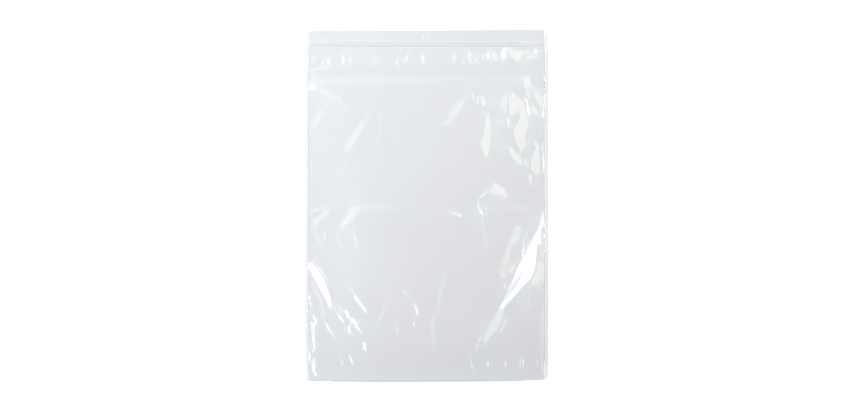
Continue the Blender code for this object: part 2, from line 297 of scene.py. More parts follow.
    dict(pale, line=[(314, 56), (315, 64)], width=3),
    dict(pale, line=[(462, 61), (464, 67)], width=2.6),
]

# Crumpled patches: middle and half size in photo pixels, height of their ridges and grain
crumples = [
    {"middle": (352, 326), "half": (12, 15), "rise": 0.10 * mm, "grain": 5.0, "finish": 0.5},
    {"middle": (535, 100), "half": (11, 24), "rise": 0.10 * mm, "grain": 6.0, "finish": 0.6},
    {"middle": (313, 350), "half": (6, 40), "rise": 0.10 * mm, "grain": 5.0, "finish": 0.3},
    {"middle": (544, 234), "half": (6, 32), "rise": 0.30 * mm, "grain": 6.0, "finish": 1.4},
    {"middle": (543, 335), "half": (4, 45), "rise": 0.25 * mm, "grain": 6.0, "finish": 0.5},
    {"middle": (480, 215), "half": (9, 18), "rise": 0.12 * mm, "grain": 6.0, "finish": 0.5},
    {"middle": (330, 58), "half": (30, 7), "rise": 0.12 * mm, "grain": 6.0, "finish": 0.5},
    {"middle": (425, 58), "half": (125, 6), "rise": 0.10 * mm, "grain": 6.0, "finish": 0.25},
]

# Lines that run across the whole bag: place in photo pixels, rise in mm, half width in pixels
crossLines = [
    (33.2, 0.016, 0.9), (35.6, 0.020, 0.8), (38.2, 0.016, 0.9), (61.8, 0.016, 1.0),
]

# The front wall seen from the side, from the mouth down: place in photo pixels, air gap in mm
zipProfile = [
    (29.0, 1.36), (39.0, 1.38), (41.0, 1.42), (42.2, 1.50), (46.4, 1.50), (48.0, 1.44), (52.0, 1.30), (60.0, 1.16),
    (66.0, 1.14), (69.0, 1.04), (75.5, 0.76), (77.0, 0.78), (83.0, 1.02), (86.0, 1.04), (330.0, 1.00),
    (345.0, 0.92), (360.0, 0.70), (372.0, 0.42), (381.0, 0.25),
]

# The bag's outline in the photo: at a place down or across it, how far its edge lies off the
# straight one, in pixels, to the right or down
outline = {
    "left": [(30, 2.4), (36, 1.7), (42, 0.8), (49, -0.2), (56, -1.1), (62, -1.6), (70, -1.5), (73, -0.8),
             (97, -0.6), (335, -0.3), (348, 0.2), (371, 0.8), (382, 1.0)],
    "right": [(30, -0.9), (36, -0.4), (46, 0.2), (60, 0.6), (96, 0.7), (230, 0.7), (360, 0.6), (381, 0.1)],
    "top": [(306, 0.3), (335, 0.3), (352, -0.1), (410, 0.4), (435, 0.1), (465, 0.0), (524, -0.4), (547, -0.1)],
    "bottom": [(306, -0.6), (335, 0.5), (360, 0.8), (431, 0.7), (505, 0.3), (524, -0.5), (538, -1.2), (547, -1.8)],
    "reach": 14.0,
}

# Where the right weld is pinched up off the table, in photo pixels down the bag
pinches = [
    {"middle": 266.0, "half": 46.0, "rise": 2.6 * mm},
    {"middle": 122.0, "half": 38.0, "rise": 0.7 * mm},
]

# The weld's flange: how high its waves stand off the table, and its pressed dashes
flange = {
    "waveRise": 0.25 * mm,
    "waveGrain": 24.0,
    "waveReach": 5.0,
    "dashDepth": 0.05 * mm,
    "dashGrain": 2.6,
    "dashHalf": 0.55 * mm,
}


# The clear film's finish, with its painted shade and painted highlight: lengths in metres
clearFilm = {
    "colour": (0.952, 0.958, 0.972, 1.0),
    # painted shade: the colour that the weld line's dashes and the bottom fold are darkened to
    "paintedShadeColour": (0.86, 0.88, 0.90, 1.0),
    "weldLineHalf": 0.6 * mm,
    "weldDash": 2.4 * mm,
    "ior": 1.5,
    "smoothest": 0.035,
    "haziest": 0.075,
    "hazeSize": 18 * mm,
    "crumpleSize": 2.7 * mm,
    "crumpleRise": 0.34 * mm,
    "foldLine": 1.5 * mm,
    "dotsMiddle": (425.6, 36.8),       # two pressed dots in the lip, in photo pixels
    "dotsApart": 6.1,
    "dotSize": 2.6 * mm,
    # painted highlight: how much lighter the film is painted on the two pressed dots
    "dotHighlight": 0.6,
    "flangeFinish": 0.8,
    "lineAcross": 160 * mm,
    "lineAlong": 1.15 * mm,
    "lineRise": 0.08 * mm,
    "lineElsewhere": 0.16,
    "strokeAcross": 1.4 * mm,
    "strokeAlong": 26 * mm,
    "strokeTurn": 0.22,
    "strokeRise": 0.045 * mm,
}


def toPixel(x, y):
    return bagMiddle[0] + x / metresPerPixel, bagMiddle[1] - y / metresPerPixel


def toMetres(px, py):
    return (px - bagMiddle[0]) * metresPerPixel, (bagMiddle[1] - py) * metresPerPixel


def ease(value, start, end):
    share = np.clip((value - start) / (end - start), 0.0, 1.0)
    return share * share * (3 - 2 * share)


def ridge(distance, halfWidth):
    return np.exp(-(distance / halfWidth) ** 2)


def spread(start, end, step):      # evenly spaced places from start up to, but without, end
    count = max(1, math.ceil(abs(end - start) / step - 1e-9))
    return [start + (end - start) * i / count for i in range(count)]


def crestDistance(u, v, crest):    # distance, side (1 on the walker's right) and share of the way along
    nearest = np.full(u.shape, 1e9)
    side = np.ones(u.shape)
    along = np.zeros(u.shape)
    lengths = [math.dist(a, b) for a, b in zip(crest, crest[1:])]
    walked = 0.0
    for (startU, startV), (endU, endV), length in zip(crest, crest[1:], lengths):
        runU, runV = endU - startU, endV - startV
        share = ((u - startU) * runU + (v - startV) * runV) / length ** 2
        share = np.clip(share, 0.0, 1.0)
        away = np.hypot(u - startU - share * runU, v - startV - share * runV)
        closer = away < nearest
        cross = runU * (v - startV) - runV * (u - startU)
        nearest = np.where(closer, away, nearest)
        side = np.where(closer, np.where(cross > 0, 1.0, -1.0), side)
        along = np.where(closer, (walked + share * length) / sum(lengths), along)
        walked += length
    return nearest, side, along


def sampleMap(heights, u, v):      # height at any place, between the map's own points
    column = np.clip((u - mapU[0]) / mapStep, 0, len(mapU) - 1.001)
    row = np.clip((v - mapV[0]) / mapStep, 0, len(mapV) - 1.001)
    c, r = column.astype(int), row.astype(int)
    shareU, shareV = column - c, row - r
    upper = heights[r, c] * (1 - shareU) + heights[r, c + 1] * shareU
    lower = heights[r + 1, c] * (1 - shareU) + heights[r + 1, c + 1] * shareU
    return upper * (1 - shareV) + lower * shareV


def insideOutline(u, v, corners):  # whether points lie inside a closed line
    inside = np.zeros(u.shape, bool)
    for (startU, startV), (endU, endV) in zip(corners, corners[1:] + corners[:1]):
        if startV != endV:
            crossing = startU + (endU - startU) * (v - startV) / (endV - startV)
            inside ^= ((startV > v) != (endV > v)) & (u < crossing)
    return inside


def facetField(facet):             # a facet's place on the map, its points there and its slopes per map step
    corners = facet.get("outline", facet.get("line"))
    reach = facet.get("width", 0) + facet.get("back", 0) + 2
    low, high = np.min(corners, axis=0) - reach, np.max(corners, axis=0) + reach
    columns = slice(*np.clip(np.searchsorted(mapU, (low[0], high[0])), 0, len(mapU)))
    rows = slice(*np.clip(np.searchsorted(mapV, (low[1], high[1])), 0, len(mapV)))
    u, v = wobbleU[rows, columns], wobbleV[rows, columns]
    glance = facet["glance"]
    if "outline" in facet:
        toward = np.array(facet["toward"], float)
        core = insideOutline(u, v, corners)
        inside = core | np.roll(core, 1, 0) | np.roll(core, -1, 0) | np.roll(core, 1, 1) | np.roll(core, -1, 1)
    else:
        run = np.subtract(corners[-1], corners[0])
        toward = np.array((-run[1], run[0])) * np.sign(np.dot((-run[1], run[0]), facet["toward"]))
        away, side, along = crestDistance(u, v, corners)
        inside = away < 0.5 * (facet["width"] + 0.8) * (0.15 + 0.85 * np.sin(math.pi * np.clip(along, 0, 1)) ** 0.6)
        glance *= 1 + 0.22 * max(0.0, 3.2 - facet["width"])
    toward = toward / np.hypot(*toward)
    x, y = toMetres(*np.mean(corners, axis=0))
    if abs(toward[0]) > 0.3:
        seen = math.degrees(math.atan(x * np.sign(toward[0]) / cameraAway))
        tilt = 0.5 * (glance - seen) / abs(toward[0])
    else:
        tilt = 0.5 * (glance - math.degrees(math.atan(-y * np.sign(toward[1]) / cameraAway)))
    slopes = -math.tan(math.radians(min(tilt, 17.0))) * mapStep * metresPerPixel * toward
    return (rows, columns), inside, slopes


def settle(heights):               # creases the wall into its facets and lets it ease off around them
    bent = [np.zeros(heights[:, 1:].shape), np.zeros(heights[1:].shape)]
    stiff = [np.ones(bent[0].shape), np.ones(bent[1].shape)]
    for facet in facets:
        (rows, columns), inside, slopes = facetField(facet)
        here = heights[rows, columns]
        both = inside[:, 1:] & inside[:, :-1]
        place = (rows, slice(columns.start, columns.start + both.shape[1]))
        bent[0][place][both] = (slopes[0] - np.diff(here, axis=1))[both]
        stiff[0][place][both] = pocket["facetStiffness"]
        both = inside[1:] & inside[:-1]
        place = (slice(rows.start, rows.start + both.shape[0]), columns)
        bent[1][place][both] = (slopes[1] - np.diff(here, axis=0))[both]
        stiff[1][place][both] = pocket["facetStiffness"]
        for i in range(1, int(facet.get("back", 0) / mapStep) + 1):
            away = slopes / np.hypot(*slopes) * i
            behind = np.roll(inside, (round(away[1]), round(away[0])), (0, 1))[:-1, :-1] & ~inside[:-1, :-1]
            place = (slice(rows.start, rows.stop - 1), slice(columns.start, columns.stop - 1))
            for axis in (0, 1):
                loose = behind & (stiff[axis][place] == 1)
                stiff[axis][place][loose] = pocket["backStiffness"]
    free = (np.abs(toMetres(gridU, gridV)[0]) < weldX) & (gridV < photo["bagBottom"] - 1) & (gridV > 47.5)

    def outflow(alongU, alongV):
        total = np.zeros(heights.shape)
        total[:, :-1] -= alongU
        total[:, 1:] += alongU
        total[:-1] -= alongV
        total[1:] += alongV
        return total * free

    def resist(moved):
        pulled = outflow(stiff[0] * np.diff(moved, axis=1), stiff[1] * np.diff(moved, axis=0))
        return pulled + pocket["spring"] * moved * free

    around = np.full(heights.shape, pocket["spring"])
    around[:, :-1] += stiff[0]
    around[:, 1:] += stiff[0]
    around[:-1] += stiff[1]
    around[1:] += stiff[1]
    moved = np.zeros(heights.shape)
    rest = outflow(stiff[0] * bent[0], stiff[1] * bent[1])
    step = rest / around
    energy = (rest * step).sum()
    for i in range(pocket["settleSteps"]):
        answer = resist(step)
        size = energy / (step * answer).sum()
        moved += size * step
        rest -= size * answer
        remaining = (rest * rest / around).sum()
        step = rest / around + remaining / energy * step
        energy = remaining
    print("bag: creased, moved by up to", round(1000 * np.abs(moved).max(), 2), "mm")
    return heights + moved


def crumpleNear(u, v, patch):      # 1 in the middle of a crumpled patch, 0 outside it
    away = np.hypot((u - patch["middle"][0]) / patch["half"][0], (v - patch["middle"][1]) / patch["half"][1])
    return 1 - ease(away, 0.45, 1.0)


def crumpleHeight(u, v, patch):
    near = crumpleNear(u, v, patch)
    height = np.zeros(u.shape)
    inside = near > 0
    grain = wander(u[inside], v[inside], patch["grain"], patch["middle"][0])
    fine = wander(u[inside], v[inside], patch["grain"] / 2, patch["middle"][1])
    height[inside] = patch["rise"] * near[inside] * (1.2 - 2 * np.abs(grain) - np.abs(fine))
    return height


def smoothNoise(u, v, length, seed):    # the same in metres over the map, read from every fourth point
    x, y = toMetres(u[::4, ::4], v[::4, ::4])
    coarse = wander(x.ravel(), y.ravel(), length, seed).reshape(x.shape)
    rows = np.clip(np.arange(u.shape[0]) / 4, 0, coarse.shape[0] - 1.001)
    columns = np.clip(np.arange(u.shape[1]) / 4, 0, coarse.shape[1] - 1.001)
    r, c = rows.astype(int)[:, None], columns.astype(int)[None, :]
    shareV, shareU = rows[:, None] - r, columns[None, :] - c
    upper = coarse[r, c] * (1 - shareU) + coarse[r, c + 1] * shareU
    lower = coarse[r + 1, c] * (1 - shareU) + coarse[r + 1, c + 1] * shareU
    return upper * (1 - shareV) + lower * shareV


def wander(x, y, length, seed):    # smooth noise over the bag, about -1 to 1
    return np.array([noise.noise(Vector((a / length, b / length, seed))) for a, b in zip(x, y)])


def zipLift(v):                    # the wall as its zip, its lip and the valley below hold it up
    places, gaps = np.array(zipProfile).T
    fine = np.interp(v[..., None] + np.linspace(-0.9, 0.9, 7), places, gaps).mean(axis=-1)
    return fine * mm


def weldHeight(u, v):              # how high the front wall stands over its welds
    height = film["layerGap"] + (zipLift(v) - film["layerGap"]) * (1 - ease(v, 66, 90))
    for pinch in pinches:
        height = height + pinch["rise"] * ridge(v - pinch["middle"], pinch["half"]) * (u > bagMiddle[0])
    return height


def weldLift(x, y):                # how far the back wall rises to meet the front one at the welds
    u, v = toPixel(x, y)
    return (weldHeight(u, v) - 0.1 * mm) * (1 - ease(weldX - np.abs(x), 0, mesh["liftMargin"]))


def airMap():                      # height of the air between the two walls, over the whole bag
    u, v = np.meshgrid(mapU, mapV)
    x, y = toMetres(u, v)
    fromWeld = weldX - np.abs(x)
    aboveFold = y - foldY
    resting = weldHeight(u, v)
    puff = pocket["puffHeight"] * ease(fromWeld, 0, pocket["puffMargin"]) * ease(aboveFold, 0, pocket["puffFootMargin"])
    puff *= ease(v, 84, 260)
    margin = pocket["valleyMargin"] + (pocket["restMargin"] - pocket["valleyMargin"]) * ease(v, 84, 140)
    level = resting + (zipLift(v) - resting) * ease(fromWeld / margin, 0, 1)
    level -= pocket["valleyDepth"] * ridge(v - 76.5, 5.0) * (1 - ease(u, 310, 470)) * ease(fromWeld, 0, 4 * mm)
    heights = level + puff
    calm = ease(fromWeld, 0, pocket["calmMargin"]) * ease(aboveFold, 0, pocket["calmMargin"])
    heights += calm * pocket["undulation"] * smoothNoise(u, v, pocket["undulationLength"], 3.1) * ease(v, 80, 130)
    strength = pocket["creaseStep"] * np.interp(u, *zip(*pocket["creaseShare"]))
    step = ease(v, pocket["creaseV"] - 1.5, pocket["creaseV"] + 1.5) * (1 - ease(v, 211, 262))
    heights += calm * strength * step
    heights = settle(heights)
    held = ease(fromWeld, 0, pocket["wrinkleMargin"]) * ease(aboveFold, 0, pocket["wrinkleMargin"])
    for patch in crumples:
        heights += held * crumpleHeight(u, v, patch)
    print("bag: lowest", round(1000 * heights.min(), 2), "mm")
    heights = np.where(fromWeld < 0, resting, heights)
    dashes = np.clip(0.5 + 1.3 * smoothNoise(0 * u, v, flange["dashGrain"] * metresPerPixel, 5.5), 0, 1)
    heights -= flange["dashDepth"] * dashes * ridge(fromWeld, flange["dashHalf"])
    return np.maximum(heights, 0.06 * mm)


def crossRelief(y):                # fine lines along the lips and the zip, on the film's outer face
    v = bagMiddle[1] - y / metresPerPixel
    height = np.zeros(y.shape)
    for place, rise, half in crossLines:
        height += rise * mm * ridge(v - place, half)
    return height


def flangeLift(x, y):              # how far the welded edges stand off the table
    u, v = toPixel(x, y)
    reach = np.clip(1 - (edgeX - np.abs(x)) / metresPerPixel / flange["waveReach"], 0, 1)
    wave = np.clip(0.25 + wander(np.sign(x) * 40, v, flange["waveGrain"], 7.3), 0, 1)
    return flange["waveRise"] * wave * reach ** 1.5


def outlineShift(x, y):            # the photographed outline's own small bends
    u, v = toPixel(x, y)
    leftPull = np.exp(-(u - photo["bagLeft"]) / outline["reach"])
    rightPull = np.exp(-(photo["bagRight"] - u) / outline["reach"])
    topPull = np.exp(-(v - photo["bagTop"]) / 5)
    bottomPull = np.exp(-(photo["bagBottom"] - v) / outline["reach"])
    shiftU = leftPull * np.interp(v, *zip(*outline["left"])) + rightPull * np.interp(v, *zip(*outline["right"]))
    shiftV = topPull * np.interp(u, *zip(*outline["top"])) + bottomPull * np.interp(u, *zip(*outline["bottom"]))
    return shiftU * metresPerPixel, -shiftV * metresPerPixel


def wallRows():                    # places along the front wall, from the bottom fold to the mouth
    bandFoot = zipFootY - mesh["bandLength"]
    rows = spread(foldY, bandFoot, mesh["rowStep"]) + spread(bandFoot, zipFootY, mesh["bandStep"])
    return rows + spread(zipFootY, mouthY, mesh["lipStep"]) + [mouthY]


def foldArc(radius):
    middle = film["thickness"] + film["layerGap"] / 2
    angles = [math.pi * i / mesh["arcSteps"] for i in range(1, mesh["arcSteps"])]
    return [(foldY - radius * math.sin(a), middle - radius * math.cos(a)) for a in angles]


def ribOutline():                  # the front wall's headed rib, from its mouth side down
    stem = film["ribStemWidth"] / 2
    head = film["ribHeadWidth"] / 2
    neck = -(film["hookHeight"] + 2 * film["zipPlay"])
    tip = neck - film["ribHeadHeight"]
    half = [(stem, 0.0), (stem, neck), (head, neck), (head, tip)]
    return [(zipY + across, height) for across, height in half + [(-a, h) for a, h in reversed(half)]]


def jawOutline():                  # the back wall's two hooked jaws, from the pocket side up
    outside = zipWidth / 2
    channel = channelWidth / 2
    throat = film["ribStemWidth"] / 2 + film["zipPlay"]
    underside = film["ribHeadHeight"] + 2 * film["zipPlay"]
    top = underside + film["hookHeight"]
    edge = 0.1 * mm
    half = [(outside, 0.0), (outside, top - edge), (outside - edge, top), (throat, top), (throat, underside),
            (channel, underside), (channel, 0.0)]
    return [(zipY + across, height) for across, height in [(-a, h) for a, h in half] + half[::-1]]


def filmSection():                 # outline of the folded film: (y, height, carried by the air)
    rows = wallRows()
    inside = film["thickness"]
    above = inside + film["layerGap"]
    pinchFoot = toMetres(0, pinches[0]["middle"] + 1.6 * pinches[0]["half"])[1]
    pinchHead = toMetres(0, pinches[0]["middle"] - 1.6 * pinches[0]["half"])[1]
    backRows = spread(foldY, pinchFoot, mesh["backStep"]) + spread(pinchFoot, pinchHead, mesh["pinchStep"])
    backRows += spread(pinchHead, zipFootY, mesh["backStep"])
    lipRows = [zipHeadY + 2 * mm, zipHeadY + 6 * mm]
    outer = [(y, 0.0, False) for y in [mouthY] + lipRows[::-1] + [zipHeadY, zipFootY] + backRows[::-1]]
    outer += [(y, z, False) for y, z in foldArc(foldRadius)]
    outer += [(y, inside + above, True) for y in rows]
    inner = [(y, above, True) for y in reversed(rows) if y > zipHeadY]
    inner += [(y, above + z, True) for y, z in ribOutline()]
    inner += [(y, above, True) for y in reversed(rows) if y <= zipFootY]
    inner += [(y, z, False) for y, z in reversed(foldArc(film["layerGap"] / 2))]
    inner += [(y, inside, False) for y in backRows]
    inner += [(y, inside + z, False) for y, z in jawOutline()]
    inner += [(y, inside, False) for y in lipRows + [mouthY]]
    return outer, inner


def stations():                    # places across the bag, finer towards both welds
    fine = weldX - mesh["weldZone"]
    left, right = mesh["leftZone"] - weldX, weldX - mesh["rightZone"]
    across = spread(-weldX, -fine, mesh["weldStep"]) + spread(-fine, left, mesh["leftStep"])
    across += spread(left, right, mesh["middleStep"]) + spread(right, fine, mesh["rightStep"])
    return across + spread(fine, weldX, mesh["weldStep"]) + [weldX]


def getPoints(data):
    points = np.empty(len(data.vertices) * 3)
    data.vertices.foreach_get("co", points)
    return points.reshape(-1, 3)


def setPoints(data, points):
    data.vertices.foreach_set("co", points.ravel())
    data.update()


def selectFaces(data, chosen):     # selects faces in object mode, for the next edit
    data.vertices.foreach_set("select", np.zeros(len(data.vertices), bool))
    data.edges.foreach_set("select", np.zeros(len(data.edges), bool))
    data.polygons.foreach_set("select", chosen)


# The map of the air under the front wall, finer than the photo's pixels
mapStep = 0.7
mapU = np.arange(photo["bagLeft"] - 4, photo["bagRight"] + 4, mapStep)
mapV = np.arange(photo["bagTop"] - 4, photo["bagBottom"] + 4, mapStep)
cameraAway = photo["width"] * metresPerPixel * 90.0 / 36.0
gridU, gridV = np.meshgrid(mapU, mapV)
wobbleU = gridU + 1.3 * smoothNoise(gridU, gridV, 11 * mm, 21.5) + 0.9 * smoothNoise(gridU, gridV, 5 * mm, 8.5)
wobbleV = gridV + 1.3 * smoothNoise(gridU, gridV, 11 * mm, 42.5) + 0.9 * smoothNoise(gridU, gridV, 5 * mm, 9.5)
airGap = airMap()
print("bag: map of", airGap.shape, "points, highest", round(1000 * airGap.max(), 2), "mm")

# The bag
print("bag: drawing the film's section")
bpy.ops.object.select_all(action="DESELECT")
outerPoints, innerPoints = filmSection()
section = outerPoints + innerPoints
ringCount, outerCount = len(section), len(outerPoints)
lipCount = len([y for y in wallRows() if y > zipHeadY])
lipBackCount = 3
bpy.ops.mesh.primitive_circle_add(vertices=ringCount, fill_type="NOTHING")
bag = bpy.context.object
bag.name = "zipBag"
bag.data.name = "zipBag"
setPoints(bag.data, np.array([(-weldX, y, z) for y, z, carried in section]))

places = stations()
drawn = bag.modifiers.new("drawn", "SCREW")
drawn.axis = "X"
drawn.angle = 0
drawn.screw_offset = 2 * weldX
drawn.steps = len(places) - 1
drawn.render_steps = len(places) - 1
drawn.use_merge_vertices = False
bpy.ops.object.modifier_apply(modifier="drawn")

points = getPoints(bag.data)
points[:, 0] = np.repeat(places, ringCount)
setPoints(bag.data, points)
carried = np.tile([c for y, z, c in section], len(places))
isInner = np.tile(np.arange(ringCount) >= outerCount, len(places))
carriedLayer = bag.data.attributes.new("carried", "FLOAT", "POINT")
carriedLayer.data.foreach_set("value", carried.astype(np.float32))
print("bag:", ringCount, "points around,", len(places), "across")

bagHalves = {"inside": isInner, "outside": ~isInner}


def splitWalls(bag):               # both faces of a wall get the same diagonals, so they never cross
    bpy.context.tool_settings.mesh_select_mode = (False, False, True)
    corners = np.empty(len(bag.data.polygons) * 4, int)
    bag.data.polygons.foreach_get("vertices", corners)
    selectFaces(bag.data, isInner[corners.reshape(-1, 4)].all(axis=1))
    bpy.ops.object.mode_set(mode="EDIT")
    bpy.ops.mesh.quads_convert_to_tris(quad_method="FIXED_ALTERNATE")
    bpy.ops.mesh.select_all(action="SELECT")
    bpy.ops.mesh.quads_convert_to_tris(quad_method="FIXED")
    bpy.ops.object.mode_set(mode="OBJECT")


def closeStrip(bm, edge):          # fills a long thin gap with triangles between its upper and lower side
    upper = sorted([point for point in edge if point.co.z > foldRadius], key=lambda point: -point.co.y)
    lower = sorted([point for point in edge if point.co.z < foldRadius], key=lambda point: -point.co.y)
    i = j = 0
    while i < len(upper) - 1 or j < len(lower) - 1:
        if j == len(lower) - 1 or i < len(upper) - 1 and upper[i + 1].co.y > lower[j + 1].co.y:
            bm.faces.new((upper[i], upper[i + 1], lower[j]))
            i += 1
        else:
            bm.faces.new((upper[i], lower[j + 1], lower[j]))
            j += 1


def weldSides(bag):                # closes both ends of the film and carries them out to the bag's edges
    bpy.context.tool_settings.mesh_select_mode = (False, False, True)
    for first, direction in ((0, -1), ((len(places) - 1) * ringCount, 1)):
        bpy.ops.object.mode_set(mode="EDIT")
        bpy.ops.mesh.select_all(action="DESELECT")
        bm = bmesh.from_edit_mesh(bag.data)
        bm.verts.ensure_lookup_table()
        ring = [bm.verts[first + j] for j in range(ringCount)]
        for loop in (ring, ring[outerCount:]):
            bm.faces.new(loop).select_set(True)
        bmesh.update_edit_mesh(bag.data)
        reached = 0.0
        for share in mesh["sealPlaces"]:
            step = direction * (share - reached) * film["sealWidth"]
            bpy.ops.mesh.extrude_region_move(TRANSFORM_OT_translate={"value": (step, 0, 0)})
            reached = share
        bpy.ops.mesh.dissolve_faces()
        bm = bmesh.from_edit_mesh(bag.data)
        bm.verts.ensure_lookup_table()
        cap = next(face for face in bm.faces if face.select)
        edge = list(cap.verts)
        bm.faces.remove(cap)
        closeStrip(bm, edge)
        ring = [bm.verts[first + j] for j in range(ringCount)]
        lipFront = ring[outerCount:outerCount + lipCount]
        foldPart = ring[outerCount + lipCount + 8:ringCount - lipBackCount - 14]
        jaws = ring[ringCount - lipBackCount - 14:ringCount - lipBackCount]
        closeStrip(bm, lipFront + [jaws[-1]] + ring[ringCount - lipBackCount:])
        bm.faces.new(ring[outerCount + lipCount - 1:outerCount + lipCount + 9] + jaws)
        closeStrip(bm, foldPart + [jaws[0]])
        bmesh.update_edit_mesh(bag.data)
        bpy.ops.object.mode_set(mode="OBJECT")


splitWalls(bag)
weldSides(bag)
print("bag: sides welded,", len(bag.data.vertices), "points")

points = getPoints(bag.data)
carried = np.empty(len(points))
bag.data.attributes["carried"].data.foreach_get("value", carried)
shiftX, shiftY = outlineShift(points[:, 0], points[:, 1])
front = carried > 0.5
points[front, 2] -= film["layerGap"]
onOuterFace = front & (points[:, 2] > 1.5 * film["thickness"])
air = sampleMap(airGap, *toPixel(points[:, 0], points[:, 1]))
lift = weldLift(points[:, 0], points[:, 1])
zipPart = front & (points[:, 2] < 0.99 * film["thickness"]) | ~front & (points[:, 2] > 1.01 * film["thickness"])
zipPart &= np.abs(points[:, 1] - zipY) < zipWidth
points[zipPart, 2] -= (points[zipPart, 2] - film["thickness"]) * (lift / air)[zipPart]
points[:, 2] += np.where(front, air, lift)
points[onOuterFace, 2] += crossRelief(points[onOuterFace, 1])
points[:, 2] += flangeLift(points[:, 0], points[:, 1])
points[:, 0] += shiftX
points[:, 1] += shiftY
setPoints(bag.data, points)
bpy.ops.object.mode_set(mode="EDIT")
bpy.ops.mesh.select_all(action="SELECT")
bpy.ops.mesh.normals_make_consistent(inside=False)
bpy.ops.object.mode_set(mode="OBJECT")
bpy.ops.object.shade_smooth_by_angle(angle=math.radians(35))
bag.data.attributes.remove(bag.data.attributes["carried"])
crumpled = np.where(np.abs(points[:, 0]) > weldX + 0.3 * mm, clearFilm["flangeFinish"], 0.0)
for patch in crumples:
    near = patch["finish"] * crumpleNear(*toPixel(points[:, 0], points[:, 1]), patch)
    crumpled[front] = np.maximum(crumpled, near)[front]
crumpledLayer = bag.data.attributes.new("crumpled", "FLOAT", "POINT")
crumpledLayer.data.foreach_set("value", crumpled.astype(np.float32))
print("bag: wrinkled,", len(bag.data.polygons), "faces")


def operate(tree, operation, *values):
    node = tree.nodes.new("ShaderNodeMath")
    node.operation = operation
    for socket, value in zip(node.inputs, values):
        if hasattr(value, "default_value"):
            tree.links.new(value, socket)
        else:
            socket.default_value = value
    return node.outputs[0]


def rampBetween(tree, value, start, end, low=0.0, high=1.0):
    node = tree.nodes.new("ShaderNodeMapRange")
    node.interpolation_type = "SMOOTHSTEP"
    tree.links.new(value, node.inputs["Value"])
    node.inputs["From Min"].default_value = start
    node.inputs["From Max"].default_value = end
    node.inputs["To Min"].default_value = low
    node.inputs["To Max"].default_value = high
    return node.outputs["Result"]


def grain(tree, place, sizes, detail, turn=0.0):    # noise with a grain of its own size along each axis
    stretch = tree.nodes.new("ShaderNodeMapping")
    stretch.vector_type = "TEXTURE"
    tree.links.new(place, stretch.inputs["Vector"])
    stretch.inputs["Rotation"].default_value = (0, 0, turn)
    stretch.inputs["Scale"].default_value = sizes
    node = tree.nodes.new("ShaderNodeTexNoise")
    tree.links.new(stretch.outputs[0], node.inputs["Vector"])
    node.inputs["Scale"].default_value = 1.0
    node.inputs["Detail"].default_value = detail
    return node.outputs["Fac"]


def tinted(tree, share, under, over):
    node = tree.nodes.new("ShaderNodeMix")
    node.data_type = "RGBA"
    tree.links.new(share, node.inputs["Factor"])
    for name, colour in (("A", under), ("B", over)):
        if hasattr(colour, "default_value"):
            tree.links.new(colour, node.inputs[name])
        else:
            node.inputs[name].default_value = colour
    return node.outputs["Result"]


